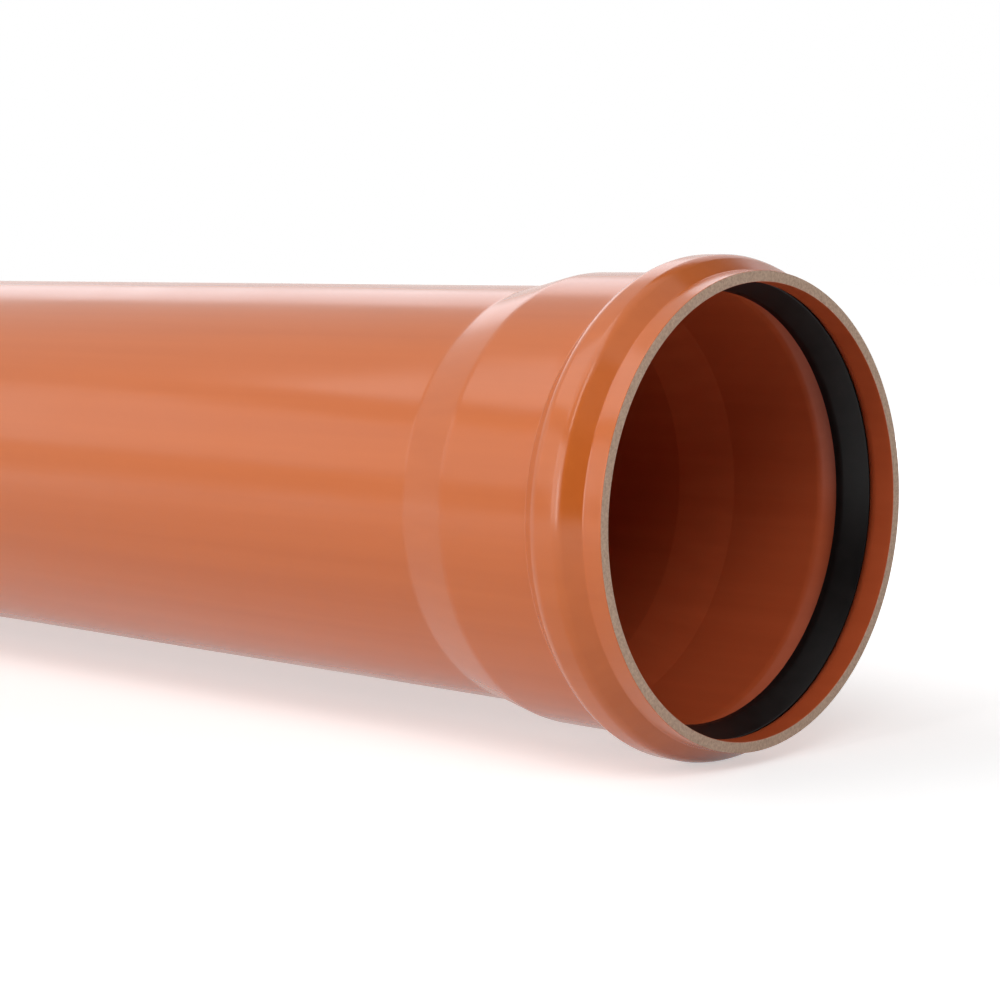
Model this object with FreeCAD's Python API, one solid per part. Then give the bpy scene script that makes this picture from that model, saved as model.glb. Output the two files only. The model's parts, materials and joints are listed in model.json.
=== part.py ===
import FreeCAD, Part
import math
import os

# One length of socketed PVC-U sewer pipe, nominal size 160, lying on its side.
# X runs along the pipe, the socket's mouth faces +X and Z is up. The origin is
# on the floor, under the middle of the overall length. Sizes are in millimetres.

# Pipe
SPIGOT_OD = 160.0           # outside diameter of the plain barrel
WALL = 4.0                  # wall of barrel, socket and bead alike
LAYING_LENGTH = 1000.0      # what the pipe adds to a run once its spigot is home
CHAMFER_LENGTH = 7.0        # bevel on the plain end, measured along the pipe
CHAMFER_ANGLE = 15.0        # degrees between the bevel and the axis

# Socket, measured on its inside and back from the mouth
SOCKET_DEPTH = 76.0         # mouth to the taper, where a spigot stops
SOCKET_CLEARANCE = 1.2      # radial room between a spigot and the socket's wall
TAPER_LENGTH = 24.0         # from the socket's wall down to the barrel's bore
TAPER_BEND = 12.0           # bend at each end of the taper, on its hollow side
MOUTH_FLARE = 0.9           # how much wider the mouth's radius is than the socket's
MOUTH_EDGE = 0.2            # rounding of the mouth's two edges

# Groove for the seal, the inside of the bead
GROOVE_START = 9.4          # mouth to the groove's front edge
GROOVE_DEPTH = 6.6          # radial, below the socket's wall
GROOVE_FLAT = 8.6           # length of the groove's bottom
GROOVE_FRONT_SLOPE = 39.0   # degrees between the front flank and the axis
GROOVE_REAR_SLOPE = 37.0    # degrees between the rear flank and the axis
GROOVE_CORNER_BEND = 3.0    # bend at each end of the bottom, inside
GROOVE_EDGE_BEND = 1.2      # bend where a flank leaves the wall, outside

# Seal ring
SEAL_CLEARANCE = 0.3        # between the ring and the groove
SEAL_BITE = 1.2             # how far the free lip stands inside a spigot's outside
SEAL_HEEL = 1.1             # ring's front edge, outside the mouth's wall
SEAL_BACK = 3.6             # ring's rear edge, outside the socket's wall
LIP_LAND = 3.0              # length of the lip's innermost round face
LIP_INSET = 0.7             # lip's rear end, ahead of the rear end of the groove's bottom
LIP_END = 1.0               # height of the lip's blunt rear end
POCKET_REACH = 5.5          # how far the hollow behind the lip goes in
POCKET_RISE = 2.8           # radial height of that hollow over the lip's end
SEAL_ROUND = 0.6            # rounding of the ring's outer edges

barrel_radius = SPIGOT_OD / 2
bore_radius = barrel_radius - WALL
socket_radius = barrel_radius + SOCKET_CLEARANCE
mouth_radius = socket_radius + MOUTH_FLARE
groove_radius = socket_radius + GROOVE_DEPTH
axis_height = groove_radius + WALL

overall_length = LAYING_LENGTH + SOCKET_DEPTH
mouth_x = overall_length / 2
plain_end_x = -overall_length / 2
groove_front_x = mouth_x - GROOVE_START
front_flank = (groove_radius - mouth_radius) / math.tan(math.radians(GROOVE_FRONT_SLOPE))
rear_flank = GROOVE_DEPTH / math.tan(math.radians(GROOVE_REAR_SLOPE))
bottom_front_x = groove_front_x - front_flank
bottom_rear_x = bottom_front_x - GROOVE_FLAT
groove_rear_x = bottom_rear_x - rear_flank


# A line is a list of corners (x, radius, bend): the place along the pipe, the
# distance from its axis, and the radius that the corner is bent to.

def unit(start, end):
    """The direction from one corner to another."""
    length = math.hypot(end[0] - start[0], end[1] - start[1])
    return (end[0] - start[0]) / length, (end[1] - start[1]) / length


def moved_out(line, distance):
    """A line that runs towards +X, moved away from the axis, square to itself."""
    moved = []
    for i, (x, radius, bend) in enumerate(line):
        ahead = unit(line[i], line[i + 1]) if i + 1 < len(line) else unit(line[i - 1], line[i])
        behind = unit(line[i - 1], line[i]) if i > 0 else ahead
        turn = behind[0] * ahead[1] - behind[1] * ahead[0]
        share = distance / (1 + behind[0] * ahead[0] + behind[1] * ahead[1])
        if bend:
            bend -= math.copysign(distance, turn)
        moved.append((x - share * (behind[1] + ahead[1]), radius + share * (behind[0] + ahead[0]), bend))
    return moved


def section(corners):
    """The flat face inside a closed line, upright over the pipe's axis."""
    edges = []
    ends = []
    points = [FreeCAD.Vector(x, 0, axis_height + radius) for x, radius, bend in corners]
    for i, (x, radius, bend) in enumerate(corners):
        corner = points[i]
        if not bend:
            ends.append((corner, corner))
            continue
        back = (points[i - 1] - corner).normalize()
        on = (points[(i + 1) % len(points)] - corner).normalize()
        half = back.getAngle(on) / 2
        inward = (back + on).normalize()
        first = corner + back * (bend / math.tan(half))
        middle = corner + inward * (bend / math.sin(half) - bend)
        last = corner + on * (bend / math.tan(half))
        edges.append(Part.Arc(first, middle, last).toShape())
        ends.append((first, last))
    for i, (first, last) in enumerate(ends):
        edges.append(Part.LineSegment(ends[i - 1][1], first).toShape())
    return Part.Face(Part.Wire(Part.__sortEdges__(edges)))


def turned(corners):
    """The solid that a closed line sweeps out round the pipe's axis."""
    return section(corners).revolve(FreeCAD.Vector(0, 0, axis_height), FreeCAD.Vector(1, 0, 0), 360)


def groove_line():
    """The groove's flanks and bottom, from the rear edge to the front edge."""
    edge_bend = GROOVE_EDGE_BEND + WALL
    return [
        (groove_rear_x, socket_radius, edge_bend),
        (bottom_rear_x, groove_radius, GROOVE_CORNER_BEND),
        (bottom_front_x, groove_radius, GROOVE_CORNER_BEND),
        (groove_front_x, mouth_radius, edge_bend),
    ]


def pipe():
    """Barrel, taper, socket and bead: one wall of even thickness."""
    taper_x = mouth_x - SOCKET_DEPTH
    inside = [
        (plain_end_x, bore_radius, 0),
        (taper_x - TAPER_LENGTH, bore_radius, TAPER_BEND + WALL),
        (taper_x, socket_radius, TAPER_BEND),
        *groove_line(),
        (mouth_x, mouth_radius, MOUTH_EDGE),
    ]
    outside = moved_out([*inside[:-1], (mouth_x, mouth_radius, 0)], WALL)
    outside[-1] = (mouth_x, mouth_radius + WALL, MOUTH_EDGE)
    chamfer_drop = CHAMFER_LENGTH * math.tan(math.radians(CHAMFER_ANGLE))
    plain_end = [
        (plain_end_x, barrel_radius - chamfer_drop, 0),
        (plain_end_x + CHAMFER_LENGTH, barrel_radius, 0),
    ]
    return turned([*plain_end, *outside[1:], *reversed(inside)])


def seal_ring():
    """The rubber ring: a back that fills the groove, and a lip that points inwards and back."""
    rear_edge, rear_corner, front_corner, front_edge = moved_out(groove_line(), -SEAL_CLEARANCE)
    heel = on_flank(front_edge, front_corner, mouth_radius + SEAL_HEEL)
    back = on_flank(rear_edge, rear_corner, socket_radius + SEAL_BACK)
    lip_radius = barrel_radius - SEAL_BITE
    lip_rear_x = bottom_rear_x + LIP_INSET
    lip_end_radius = lip_radius + LIP_END
    return turned([
        (*back, SEAL_ROUND),
        rear_corner,
        front_corner,
        (*heel, SEAL_ROUND),
        (lip_rear_x + LIP_LAND, lip_radius, 0),
        (lip_rear_x, lip_radius, 0),
        (lip_rear_x, lip_end_radius, 0),
        (lip_rear_x + POCKET_REACH, lip_end_radius + POCKET_RISE, SEAL_ROUND),
    ])


def on_flank(edge, corner, radius):
    """The point of a flank that lies at a given radius."""
    share = (radius - edge[1]) / (corner[1] - edge[1])
    return edge[0] + share * (corner[0] - edge[0]), radius


os.makedirs("parts", exist_ok=True)
for name, make in (("pipe", pipe), ("seal_ring", seal_ring)):
    make().exportStep(f"parts/{name}.step")
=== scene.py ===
import json
import math

import bmesh
import bpy
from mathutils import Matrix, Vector


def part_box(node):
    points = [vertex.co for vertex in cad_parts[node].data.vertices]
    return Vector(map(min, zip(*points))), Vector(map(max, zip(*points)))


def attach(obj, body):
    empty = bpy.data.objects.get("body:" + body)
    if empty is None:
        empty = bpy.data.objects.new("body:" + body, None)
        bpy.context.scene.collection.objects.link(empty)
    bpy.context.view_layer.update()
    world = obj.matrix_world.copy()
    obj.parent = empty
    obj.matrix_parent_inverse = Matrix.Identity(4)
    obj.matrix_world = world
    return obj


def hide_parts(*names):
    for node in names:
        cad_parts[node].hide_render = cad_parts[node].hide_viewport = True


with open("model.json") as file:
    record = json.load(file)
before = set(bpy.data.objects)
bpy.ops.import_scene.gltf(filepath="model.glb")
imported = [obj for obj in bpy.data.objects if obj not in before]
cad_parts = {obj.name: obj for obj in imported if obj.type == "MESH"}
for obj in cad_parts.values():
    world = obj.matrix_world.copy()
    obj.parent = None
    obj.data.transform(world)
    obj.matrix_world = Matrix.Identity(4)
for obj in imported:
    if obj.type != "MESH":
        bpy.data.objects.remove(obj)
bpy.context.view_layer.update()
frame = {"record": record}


# ---------------------------------------------------------------- pipe wall
# One wall of PVC-U, extruded hot in three layers that can't be parted: a thin
# glossy orange-brown skin on each face and a grey-beige core between them. The
# end is then reheated and pushed over a mandrel, which makes taper, socket and bead.

MM = 0.001                      # the frame is in metres
SKIN = 0.25 * MM                # thickness of each coloured skin
CHAMFER_LENGTH = 7 * MM         # bevel on the plain end
CHAMFER_SLOPE = math.tan(math.radians(15))

SOCKET_DEPTH = 76 * MM          # mouth to the taper, where a spigot stops
SOCKET_CLEARANCE = 1.2 * MM     # radial room between a spigot and the socket's wall
TAPER_LENGTH = 24 * MM
TAPER_BEND = 12 * MM            # on the hollow side of each bend, outside
TAPER_CREASE = 1.5 * MM         # inside, where the mandrel leaves it crisp
MOUTH_FLARE = 0.9 * MM          # how much wider the mouth's radius is than the socket's
MOUTH_EDGE = 0.2 * MM           # rounding of the mouth's two edges

GROOVE_START = 9.4 * MM         # mouth to the groove's front edge
GROOVE_DEPTH = 6.6 * MM         # radial, below the socket's wall
GROOVE_FLAT = 8.6 * MM          # length of the groove's bottom
GROOVE_FRONT_SLOPE = math.tan(math.radians(39))
GROOVE_REAR_SLOPE = math.tan(math.radians(37))
GROOVE_CORNER_BEND = 3 * MM     # bend at each end of the bottom, inside
GROOVE_EDGE_BEND = 1.2 * MM     # bend where a flank leaves the wall, outside

ROUND_STEPS = 288               # faces round the pipe
WALL_BEND_STEPS = 9             # faces along each bend
BEND_HOLD = 6 * MM              # how far from a bend's corner the wall is held straight
EDGE_HOLD = 1 * MM              # the same from an edge

pipe_low, pipe_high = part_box("pipe")
mounts = {mount["name"]: mount for mount in frame["record"]["mounts"]}
axis_height = mounts["plain_end"]["pos_m"][2]
plain_end_x = pipe_low.x
mouth_x = pipe_high.x
barrel_radius = mounts["plain_end"]["dims"]["r_mm"] * MM
bore_radius = mounts["pipe_bore"]["dims"]["r_mm"] * MM
wall = barrel_radius - bore_radius

socket_radius = barrel_radius + SOCKET_CLEARANCE
mouth_radius = socket_radius + MOUTH_FLARE
groove_radius = socket_radius + GROOVE_DEPTH
taper_front_x = mouth_x - SOCKET_DEPTH
taper_rear_x = taper_front_x - TAPER_LENGTH
groove_front_x = mouth_x - GROOVE_START
bottom_front_x = groove_front_x - (groove_radius - mouth_radius) / GROOVE_FRONT_SLOPE
bottom_rear_x = bottom_front_x - GROOVE_FLAT
groove_rear_x = bottom_rear_x - (groove_radius - socket_radius) / GROOVE_REAR_SLOPE

# A line is a list of corners: place along the pipe, radius from its axis, and the
# radius that the corner is bent to. This one is the wall's inside, up to the mouth.
inside_line = [
    (plain_end_x, bore_radius, 0),
    (taper_rear_x, bore_radius, TAPER_BEND + wall),
    (taper_front_x, socket_radius, TAPER_BEND),
    (groove_rear_x, socket_radius, GROOVE_EDGE_BEND + wall),
    (bottom_rear_x, groove_radius, GROOVE_CORNER_BEND),
    (bottom_front_x, groove_radius, GROOVE_CORNER_BEND),
    (groove_front_x, mouth_radius, GROOVE_EDGE_BEND + wall),
    (mouth_x, mouth_radius, 0),
]


def heading(start, end):
    """The direction from one corner of a line to another."""
    return Vector((end[0] - start[0], end[1] - start[1])).normalized()


def moved_out(line, distance):
    """A line that runs towards the mouth, moved away from the axis, square to itself."""
    moved = []
    last = len(line) - 1
    for i, (x, radius, bend) in enumerate(line):
        behind = heading(line[max(i - 1, 0)], line[max(i, 1)])
        ahead = heading(line[min(i, last - 1)], line[min(i + 1, last)])
        share = distance / (1 + behind.dot(ahead))
        if bend:
            bend -= math.copysign(distance, behind.cross(ahead))
        moved.append((x - share * (behind.y + ahead.y), radius + share * (behind.x + ahead.x), bend))
    return moved


def outline(corners, bend_steps):
    """A bmesh with a closed wire through the corners, each one rounded to its bend."""
    shape = bmesh.new()
    verts = [shape.verts.new((x, 0, axis_height + radius)) for x, radius, bend in corners]
    for i, vert in enumerate(verts):
        shape.edges.new((verts[i - 1], vert))
    for i, (x, radius, bend) in enumerate(corners):
        if not bend:
            continue
        behind = heading(corners[i - 1], corners[i])
        ahead = heading(corners[i], corners[(i + 1) % len(corners)])
        reach = bend * math.tan(behind.angle(ahead) / 2)
        bmesh.ops.bevel(
            shape, geom=[verts[i]], offset=reach, offset_type="OFFSET",
            segments=bend_steps, profile=0.5, affect="VERTICES", material=-1,
        )
    return shape


def held(shape, places):
    """Cuts the outline across at each place, so that a straight stretch is shaded as straight."""
    for x in places:
        bmesh.ops.bisect_plane(
            shape, geom=shape.verts[:] + shape.edges[:], dist=0.01 * MM,
            plane_co=(x, 0, 0), plane_no=(1, 0, 0),
        )


def turned(shape, name):
    """Spins an outline round the pipe's axis into a closed, smooth piece."""
    bmesh.ops.spin(
        shape, geom=shape.verts[:] + shape.edges[:], cent=(0, 0, axis_height), axis=(1, 0, 0),
        dvec=(0, 0, 0), angle=2 * math.pi, steps=ROUND_STEPS, use_merge=True, use_duplicate=False,
    )
    bmesh.ops.remove_doubles(shape, verts=shape.verts[:], dist=0.001 * MM)
    bmesh.ops.recalc_face_normals(shape, faces=shape.faces[:])
    mesh = bpy.data.meshes.new(name)
    shape.to_mesh(mesh)
    shape.free()
    mesh.shade_smooth()
    piece = bpy.data.objects.new(name, mesh)
    bpy.context.scene.collection.objects.link(piece)
    return piece


# The whole section, once round: bevelled plain end, outside, mouth, and back inside.
outside_line = moved_out(inside_line, wall)
skin_edge_x = plain_end_x + CHAMFER_LENGTH - SKIN / CHAMFER_SLOPE    # the bevel leaves the outer skin
wall_outline = [
    (plain_end_x, bore_radius + SKIN, 0),
    (plain_end_x, barrel_radius - CHAMFER_LENGTH * CHAMFER_SLOPE, 0),
    (skin_edge_x, barrel_radius - SKIN, 0),
    (plain_end_x + CHAMFER_LENGTH, barrel_radius, 0),
    *outside_line[1:-1],
    (mouth_x, mouth_radius + wall, MOUTH_EDGE),
    (mouth_x, mouth_radius, MOUTH_EDGE),
    *reversed(inside_line[3:-1]),
    (taper_front_x, socket_radius, TAPER_CREASE),
    (taper_rear_x, bore_radius, TAPER_CREASE),
    (plain_end_x, bore_radius, 0),
]
wall_shape = outline(wall_outline, WALL_BEND_STEPS)
held(wall_shape, [
    plain_end_x + EDGE_HOLD,
    plain_end_x + CHAMFER_LENGTH + EDGE_HOLD,
    taper_rear_x - BEND_HOLD,
    taper_rear_x + BEND_HOLD,
    taper_front_x - BEND_HOLD,
    taper_front_x + BEND_HOLD,
    groove_rear_x - BEND_HOLD,
    mouth_x - EDGE_HOLD,
])
pipe = turned(wall_shape, "pipe_wall")


def new_material(name):
    """A new material, with its nodes, its links and its surface shader."""
    material = bpy.data.materials.new(name)
    material.use_nodes = True
    nodes, links = material.node_tree.nodes, material.node_tree.links
    return material, nodes, links, nodes["Principled BSDF"]


def stretched(nodes, links, place, scale, shift=(0, 0, 0)):
    """Places on a piece, scaled along X, Y and Z and then shifted."""
    mapping = nodes.new("ShaderNodeMapping")
    mapping.inputs["Location"].default_value = shift
    mapping.inputs["Scale"].default_value = scale
    links.new(place, mapping.inputs["Vector"])
    return mapping.outputs["Vector"]


def noise(nodes, links, place, scale, detail, roughness=0.5):
    """A cloudy pattern from 0 to 1 over the places on a piece."""
    texture = nodes.new("ShaderNodeTexNoise")
    texture.inputs["Scale"].default_value = scale
    texture.inputs["Detail"].default_value = detail
    texture.inputs["Roughness"].default_value = roughness
    links.new(place, texture.inputs["Vector"])
    return texture.outputs["Fac"]


def two_tone(nodes, links, pattern, dark, light, light_at=0.7):
    """A colour that goes from dark to light as a pattern rises."""
    ramp = nodes.new("ShaderNodeValToRGB")
    ramp.color_ramp.elements[0].position = 0.3
    ramp.color_ramp.elements[0].color = dark
    ramp.color_ramp.elements[1].position = light_at
    ramp.color_ramp.elements[1].color = light
    links.new(pattern, ramp.inputs["Fac"])
    return ramp.outputs["Color"]


def graded(nodes, links, pattern, low, high, start=0, end=1, blend="SMOOTHSTEP"):
    """A number that goes from low to high as a pattern goes from start to end."""
    grade = nodes.new("ShaderNodeMapRange")
    grade.interpolation_type = blend
    grade.inputs["From Min"].default_value = start
    grade.inputs["From Max"].default_value = end
    grade.inputs["To Min"].default_value = low
    grade.inputs["To Max"].default_value = high
    links.new(pattern, grade.inputs["Value"])
    return grade.outputs["Result"]


def bumped(nodes, links, pattern, height, strength=1, base=None):
    """A surface that a pattern raises by up to a height, over another bump if one is given."""
    bump = nodes.new("ShaderNodeBump")
    bump.inputs["Strength"].default_value = strength
    bump.inputs["Distance"].default_value = height
    links.new(pattern, bump.inputs["Height"])
    if base:
        links.new(base, bump.inputs["Normal"])
    return bump.outputs["Normal"]


def skin_material(name, dark, light, smoothest, roughest):
    """Glossy orange-brown PVC with faint streaks along the extrusion and a slight ripple."""
    material, nodes, links, surface = new_material(name)
    place = nodes.new("ShaderNodeTexCoord").outputs["Object"]

    along_pipe = stretched(nodes, links, place, (1.2, 60, 60), (0, 0, -axis_height))
    streaks = noise(nodes, links, along_pipe, scale=2.2, detail=4)
    links.new(two_tone(nodes, links, streaks, dark, light), surface.inputs["Base Color"])

    smears = noise(nodes, links, place, scale=14, detail=3)
    links.new(graded(nodes, links, smears, smoothest, roughest), surface.inputs["Roughness"])

    wave_place = stretched(nodes, links, place, (5, 16, 16))
    waves = noise(nodes, links, wave_place, scale=1.6, detail=1)
    rippled = bumped(nodes, links, waves, 0.4 * MM)
    streaked = bumped(nodes, links, streaks, 0.008 * MM, base=rippled)
    links.new(streaked, surface.inputs["Normal"])
    surface.inputs["IOR"].default_value = 1.46
    return material


def core_material():
    """The sawn core: grey-beige, matt and slightly sandy, between two thin orange skins."""
    material, nodes, links, surface = new_material("grey_beige_core")
    place = nodes.new("ShaderNodeTexCoord").outputs["Object"]
    grains = noise(nodes, links, place, scale=900, detail=3, roughness=0.7)
    colour = two_tone(nodes, links, grains, (0.58, 0.370, 0.260, 1), (0.84, 0.620, 0.470, 1))
    links.new(colour, surface.inputs["Base Color"])
    links.new(bumped(nodes, links, grains, 0.2 * MM, strength=0.6), surface.inputs["Normal"])
    surface.inputs["Roughness"].default_value = 0.75
    return material


pipe.data.materials.append(skin_material(
    "outer_pvc_skin", dark=(0.588, 0.134, 0.024, 1), light=(0.622, 0.146, 0.027, 1),
    smoothest=0.12, roughest=0.24,
))
pipe.data.materials.append(core_material())
pipe.data.materials.append(skin_material(
    "inner_pvc_skin", dark=(0.590, 0.108, 0.033, 1), light=(0.640, 0.122, 0.039, 1),
    smoothest=0.34, roughest=0.44,
))
OUTER_SKIN, CORE, INNER_SKIN = 0, 1, 2

# The core shows where the wall was cut. Of the other faces, those that look
# towards the axis are the pipe's inside.
for face in pipe.data.polygons:
    spoke = Vector((0, face.center.y, face.center.z - axis_height))
    mouth_cut = face.center.x > mouth_x - 0.01 * MM
    plain_cut = face.center.x < skin_edge_x and spoke.length > bore_radius + SKIN
    if mouth_cut or plain_cut:
        face.material_index = CORE
    elif face.normal.dot(spoke) < 0:
        face.material_index = INNER_SKIN
    else:
        face.material_index = OUTER_SKIN
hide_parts("pipe")
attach(pipe, "root")


# ---------------------------------------------------------------- seal ring
# A ring of black rubber, moulded in one piece and snapped into the bead's groove
# from inside. Its broad smooth face leads a spigot in, down to the free lip, and
# a hollow behind the lip lets it bend back and press on the spigot.

SEAL_CLEARANCE = 0.3 * MM       # between the ring and the groove
SEAL_HEEL = 1.1 * MM            # ring's front edge, outside the mouth's wall
SEAL_BACK = 3.6 * MM            # ring's rear edge, outside the socket's wall
SEAL_ROUND = 0.6 * MM           # rounding of those two edges and of the hollow
LIP_INSET = 0.7 * MM            # lip's rear end, ahead of the rear end of the groove's bottom
LIP_END = 1 * MM                # height of the lip's blunt rear end
LIP_LEAD_BEND = 4 * MM          # where the sloping face runs out into the lip
LIP_EDGE = 0.3 * MM
POCKET_REACH = 5.5 * MM         # how far the hollow behind the lip goes in
POCKET_RISE = 2.8 * MM          # radial height of that hollow over the lip's end
RING_BEND_STEPS = 6

lip_radius = mounts["socket_seal"]["dims"]["r_mm"] * MM
lip_land = mounts["socket_seal"]["dims"]["length_mm"] * MM
lip_rear_x = bottom_rear_x + LIP_INSET
lip_end_radius = lip_radius + LIP_END


def on_flank(edge, corner, radius):
    """The point of a flank that lies at a given radius."""
    share = (radius - edge[1]) / (corner[1] - edge[1])
    return edge[0] + share * (corner[0] - edge[0]), radius


rear_edge, rear_corner, front_corner, front_edge = moved_out(inside_line[3:7], -SEAL_CLEARANCE)
ring_outline = [
    (*on_flank(rear_edge, rear_corner, socket_radius + SEAL_BACK), SEAL_ROUND),
    rear_corner,
    front_corner,
    (*on_flank(front_edge, front_corner, mouth_radius + SEAL_HEEL), SEAL_ROUND),
    (lip_rear_x + lip_land, lip_radius, LIP_LEAD_BEND),
    (lip_rear_x, lip_radius, LIP_EDGE),
    (lip_rear_x, lip_end_radius, LIP_EDGE),
    (lip_rear_x + POCKET_REACH, lip_end_radius + POCKET_RISE, SEAL_ROUND),
]
ring = turned(outline(ring_outline, RING_BEND_STEPS), "seal_ring_rubber")


def rubber_material():
    """Smooth black rubber with a satin shine and a faint mottle."""
    material, nodes, links, surface = new_material("black_seal_rubber")
    place = nodes.new("ShaderNodeTexCoord").outputs["Object"]
    mottle = noise(nodes, links, place, scale=160, detail=4)
    black, grey_black = (0.005, 0.005, 0.005, 1), (0.011, 0.010, 0.010, 1)
    colour = two_tone(nodes, links, mottle, black, grey_black, light_at=0.75)
    links.new(colour, surface.inputs["Base Color"])
    shine = graded(nodes, links, mottle, 0.34, 0.5, blend="LINEAR")
    links.new(shine, surface.inputs["Roughness"])
    surface.inputs["Specular IOR Level"].default_value = 0.25
    return material


ring.data.materials.append(rubber_material())
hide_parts("seal_ring")
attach(ring, "root")


# ------------------------------------------------------------------- studio
# A white table in a white room. Soft lamps stand at the near side, high and low,
# behind the pipe and before its mouth. A black card and a grey one, out of sight,
# keep the white room's reflection off the bead.

CARD_AIM = (0.45, 0, 0.1)       # on the taper
LAMP_AIM = (0.4, 0, 0.1)        # on the barrel, just behind the taper
mouth_centre = Vector((mouth_x, 0, axis_height))


def stage_card(name, width, height, place, aim):
    """A flat rectangle that belongs to the studio, turned towards a point."""
    shape = bmesh.new()
    bmesh.ops.create_grid(shape, x_segments=1, y_segments=1, size=0.5)
    bmesh.ops.scale(shape, verts=shape.verts, vec=(width, height, 1))
    turn = (Vector(aim) - Vector(place)).to_track_quat("Z", "Y").to_matrix()
    bmesh.ops.rotate(shape, verts=shape.verts, cent=(0, 0, 0), matrix=turn)
    bmesh.ops.translate(shape, verts=shape.verts, vec=place)
    mesh = bpy.data.meshes.new(name)
    shape.to_mesh(mesh)
    shape.free()
    card = bpy.data.objects.new(name, mesh)
    bpy.context.scene.collection.objects.link(card)
    return card


def combined(nodes, links, operation, first, second):
    """The number that a Math node makes of two others."""
    node = nodes.new("ShaderNodeMath")
    node.operation = operation
    links.new(first, node.inputs[0])
    links.new(second, node.inputs[1])
    return node.outputs["Value"]


def looked_at(nodes, links):
    """1 for a ray that shows a thing, also mirrored or through glass, 0 for light on things."""
    rays = nodes.new("ShaderNodeLightPath").outputs
    seen = combined(nodes, links, "MAXIMUM", rays["Is Camera Ray"], rays["Is Glossy Ray"])
    return combined(nodes, links, "MAXIMUM", seen, rays["Is Transmission Ray"])


def table_material():
    """A pale matt table that looks white, with a painted shadow: it glows less in an oval round the
    pipe, seen directly and mirrored.
    """
    material, nodes, links, surface = new_material("white_table")
    surface.inputs["Base Color"].default_value = (0.8, 0.8, 0.8, 1)
    surface.inputs["Roughness"].default_value = 0.9
    surface.inputs["Specular IOR Level"].default_value = 0
    place = nodes.new("ShaderNodeTexCoord").outputs["Object"]
    distance = nodes.new("ShaderNodeVectorMath")
    distance.operation = "LENGTH"
    links.new(stretched(nodes, links, place, (0.35, 1, 1)), distance.inputs[0])
    # Painted shadow: the white glow falls to 0.48 close to the pipe, where its shadow lies, and rises
    # to 1 further away.
    whiteness_with_painted_shadow = graded(nodes, links, distance.outputs["Value"], 0.48, 1, start=0.10, end=0.60)
    glow = nodes.new("ShaderNodeEmission")
    shown = combined(nodes, links, "MULTIPLY", looked_at(nodes, links), whiteness_with_painted_shadow)
    links.new(shown, glow.inputs["Strength"])
    both = nodes.new("ShaderNodeAddShader")
    links.new(surface.outputs[0], both.inputs[0])
    links.new(glow.outputs[0], both.inputs[1])
    links.new(both.outputs[0], nodes["Material Output"].inputs["Surface"])
    return material


floor = stage_card("floor", 30, 30, (0, 0, 0), (0, 0, 1))
floor.data.materials.append(table_material())

front_card = stage_card("front_card", 3.0, 3.0, (2.05, -1.75, 1.25), CARD_AIM)
back_card = stage_card("back_card", 2.4, 1.6, (0.27, 1.47, 1.74), CARD_AIM)
for card, shade in ((front_card, 0.02), (back_card, 0.45)):
    paint = bpy.data.materials.new(card.name + "_paint")
    paint.use_nodes = True
    surface = paint.node_tree.nodes["Principled BSDF"]
    surface.inputs["Base Color"].default_value = (shade, shade, shade, 1)
    surface.inputs["Specular IOR Level"].default_value = 0
    card.data.materials.append(paint)
    card.visible_camera = False

# The room looks white, and gives only a little light of its own.
world = bpy.data.worlds.new("white_room")
bpy.context.scene.world = world
world.use_nodes = True
nodes, links = world.node_tree.nodes, world.node_tree.links
background = nodes["Background"]
background.inputs["Color"].default_value = (1, 1, 1, 1)
strength = nodes.new("ShaderNodeMix")
strength.inputs["A"].default_value = 0.06
strength.inputs["B"].default_value = 1.0
links.new(looked_at(nodes, links), strength.inputs["Factor"])
links.new(strength.outputs["Result"], background.inputs["Strength"])


def softbox(name, place, width, height, radiance, aim=LAMP_AIM):
    """A soft rectangular lamp of a given brightness, turned towards a point."""
    lamp = bpy.data.lights.new(name, "AREA")
    lamp.shape = "RECTANGLE"
    lamp.size = width
    lamp.size_y = height
    lamp.energy = radiance * math.pi * width * height
    holder = bpy.data.objects.new(name, lamp)
    holder.location = place
    holder.rotation_euler = (Vector(aim) - Vector(place)).to_track_quat("-Z", "Y").to_euler()
    bpy.context.scene.collection.objects.link(holder)
    return holder


softbox("side_lamp", (0.05, -1.63, 0.45), 1.3, 0.9, 2.4)
softbox("high_left_lamp", (-0.25, -0.73, 1.49), 1.2, 1.2, 1.5)
softbox("left_lamp", (-0.81, -1.09, 0.60), 1.0, 0.6, 0.8)
softbox("low_strip", (0.42, -1.45, 0.20), 0.12, 0.50, 4.5)
softbox("high_strip", (0.55, -1.00, 1.15), 0.16, 0.70, 4.5)

# These three only light the pipe and aren't mirrored in it.
mouth_lamp = softbox("mouth_lamp", (1.45, -0.70, 1.30), 1.0, 0.8, 3.1)
front_lamp = softbox("front_lamp", (0.99, -1.12, 1.24), 1.0, 1.1, 1.0)
back_fill = softbox("back_fill", (-0.30, 1.50, 0.40), 1.8, 0.7, 2.4)
for lamp in (mouth_lamp, front_lamp, back_fill):
    lamp.visible_glossy = False

# This one is only mirrored, as the cool shine along the top of the barrel.
back_strip = softbox("back_strip", (-1.45, 0.80, 0.90), 3.6, 0.64, 1.15, aim=(-1.45, 0, 0.90))
back_strip.data.color = (0.97, 0.94, 1.0)
back_strip.visible_diffuse = False

camera = bpy.data.objects.new("camera", bpy.data.cameras.new("camera"))
camera.data.sensor_width = 36
camera.data.lens = 91.06
camera.location = mouth_centre + Vector((0.5515, -0.7136, 0.0891))
camera.rotation_euler = Vector((-0.6866, 0.7210, -0.0938)).to_track_quat("-Z", "Y").to_euler()
bpy.context.scene.collection.objects.link(camera)
bpy.context.scene.camera = camera
bpy.context.scene.view_settings.view_transform = "Standard"
